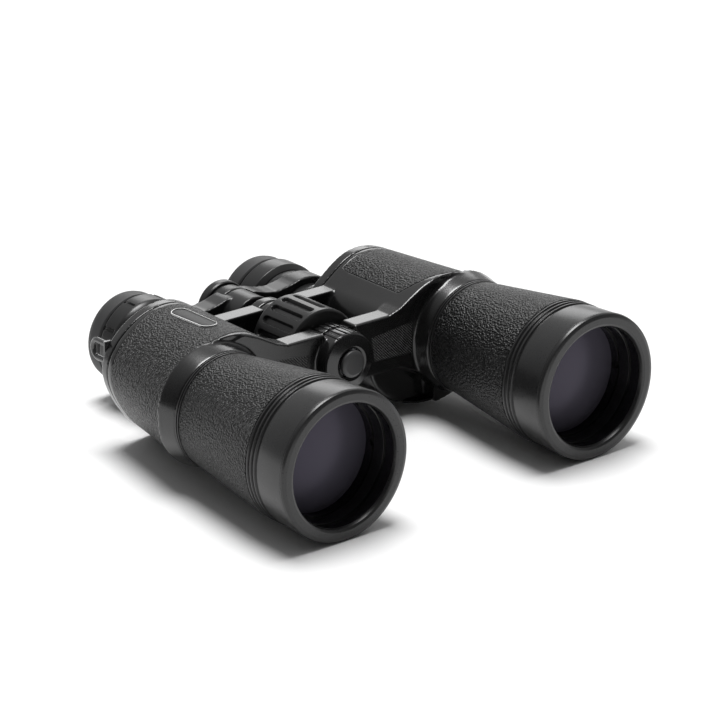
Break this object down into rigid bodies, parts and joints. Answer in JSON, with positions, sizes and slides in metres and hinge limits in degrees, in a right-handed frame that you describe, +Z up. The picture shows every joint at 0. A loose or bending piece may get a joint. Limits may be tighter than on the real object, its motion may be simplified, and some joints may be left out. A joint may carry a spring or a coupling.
{
  "type": "binoculars",
  "caption": "Centre-focus Porro-prism binoculars lying open: leatherette barrels, hinged halves, ribbed focusing wheel, sliding eyepiece bridge and a diopter ring.",
  "frame": {"origin": "under the middle of the pair, on the surface it stands on", "axes": "+X across the pair towards the user's left half, -Y the way the objectives face, +Z up"},
  "size_m": [0.1952, 0.187, 0.0628],
  "materials": {
    "satin_black_paint": "satin black paint on a light-alloy casting",
    "gloss_black_ring": "semi-gloss black paint",
    "pebbled_leatherette": "black pebble-grained leatherette",
    "black_anodised": "black anodised",
    "coated_glass": "polished, violet-blue anti-reflection coating",
    "prism_glass": "polished optical glass",
    "steel": "plain turned steel",
    "lug_metal": "gloss black over steel",
    "black_rubber": "matte black rubber",
    "black_plastic": "satin moulded black plastic",
    "brass": "turned, oiled",
    "badge_metal": "black enamel with a bright raised rim"
  },
  "bodies": {
    "right_half": {"housing_right": "satin_black_paint", "housing_leatherette_right": "pebbled_leatherette", "rear_cover_right": "satin_black_paint", "cover_screws_right": "steel", "strap_lug_right": "lug_metal", "barrel_right": "satin_black_paint", "barrel_leatherette_right": "pebbled_leatherette", "front_bezel_right": "gloss_black_ring", "lens_cell_right": "black_anodised", "lens_retainer_right": "black_anodised", "objective_crown_lens_right": "coated_glass", "objective_flint_lens_right": "coated_glass", "rear_prism_right": "prism_glass", "front_prism_right": "prism_glass", "prism_clips_right": "steel", "prism_shelf_right": "black_anodised", "badge": "badge_metal", "hinge_pin_front": "steel", "hinge_tube_rear": "steel", "ipd_scale_ring": "black_anodised"},
    "left_half": {"housing_left": "satin_black_paint", "housing_leatherette_left": "pebbled_leatherette", "rear_cover_left": "satin_black_paint", "cover_screws_left": "steel", "strap_lug_left": "lug_metal", "barrel_left": "satin_black_paint", "barrel_leatherette_left": "pebbled_leatherette", "front_bezel_left": "gloss_black_ring", "lens_cell_left": "black_anodised", "lens_retainer_left": "black_anodised", "objective_crown_lens_left": "coated_glass", "objective_flint_lens_left": "coated_glass", "rear_prism_left": "prism_glass", "front_prism_left": "prism_glass", "prism_clips_left": "steel", "prism_shelf_left": "black_anodised", "hinge_bush_front": "brass", "hinge_bush_rear": "brass"},
    "focus_wheel": {"focus_wheel": "black_plastic", "focus_nut": "brass"},
    "right_carriage": {"focus_spindle": "steel", "bridge_right": "black_plastic", "bridge_end_cap": "black_plastic", "eyepiece_tube_right": "black_anodised"},
    "right_ocular": {"ocular_barrel_right": "black_anodised", "field_lens_right": "coated_glass", "eye_lens_right": "coated_glass", "eyecup_right": "black_rubber"},
    "diopter_ring": {"diopter_ring": "black_plastic"},
    "left_carriage": {"bridge_left": "black_plastic", "eyepiece_tube_left": "black_anodised", "eyepiece_collar_left": "black_plastic", "ocular_barrel_left": "black_anodised", "field_lens_left": "coated_glass", "eye_lens_left": "coated_glass", "eyecup_left": "black_rubber"},
    "tripod_cap": {"tripod_cap": "black_plastic"}
  },
  "joints": [
    {"name": "fold", "type": "hinge", "parent": "right_half", "child": "left_half", "pos_m": [0, -0.0025, 0.0354], "axis": [0, 1, 0], "range_deg": [0, 49]},
    {"name": "focus_turn", "type": "hinge", "parent": "right_half", "child": "focus_wheel", "pos_m": [0, 0.015, 0.0354], "axis": [0, 1, 0], "range_deg": [-200, 200]},
    {"name": "focus_slide_right", "type": "slide", "parent": "right_half", "child": "right_carriage", "axis": [0, 1, 0], "range_m": [-0.00314, 0.00314]},
    {"name": "focus_slide_left", "type": "slide", "parent": "left_half", "child": "left_carriage", "axis": [0, 1, 0], "range_m": [-0.00314, 0.00314]},
    {"name": "diopter_turn", "type": "hinge", "parent": "right_carriage", "child": "diopter_ring", "pos_m": [-0.0355, 0.0775, 0.025], "axis": [0, 1, 0], "range_deg": [-90, 90]},
    {"name": "diopter_slide", "type": "slide", "parent": "right_carriage", "child": "right_ocular", "axis": [0, 1, 0], "range_m": [-0.00141, 0.00141]},
    {"name": "tripod_cap_slide", "type": "slide", "parent": "right_half", "child": "tripod_cap", "axis": [0, -1, 0], "range_m": [0, 0.03]}
  ],
  "couplings": [
    {"joint": "focus_turn", "follows": "focus_slide_right", "rad_per_m": 1110},
    {"joint": "focus_slide_left", "follows": "focus_slide_right", "ratio": 1},
    {"joint": "diopter_turn", "follows": "diopter_slide", "rad_per_m": 1110}
  ]
}
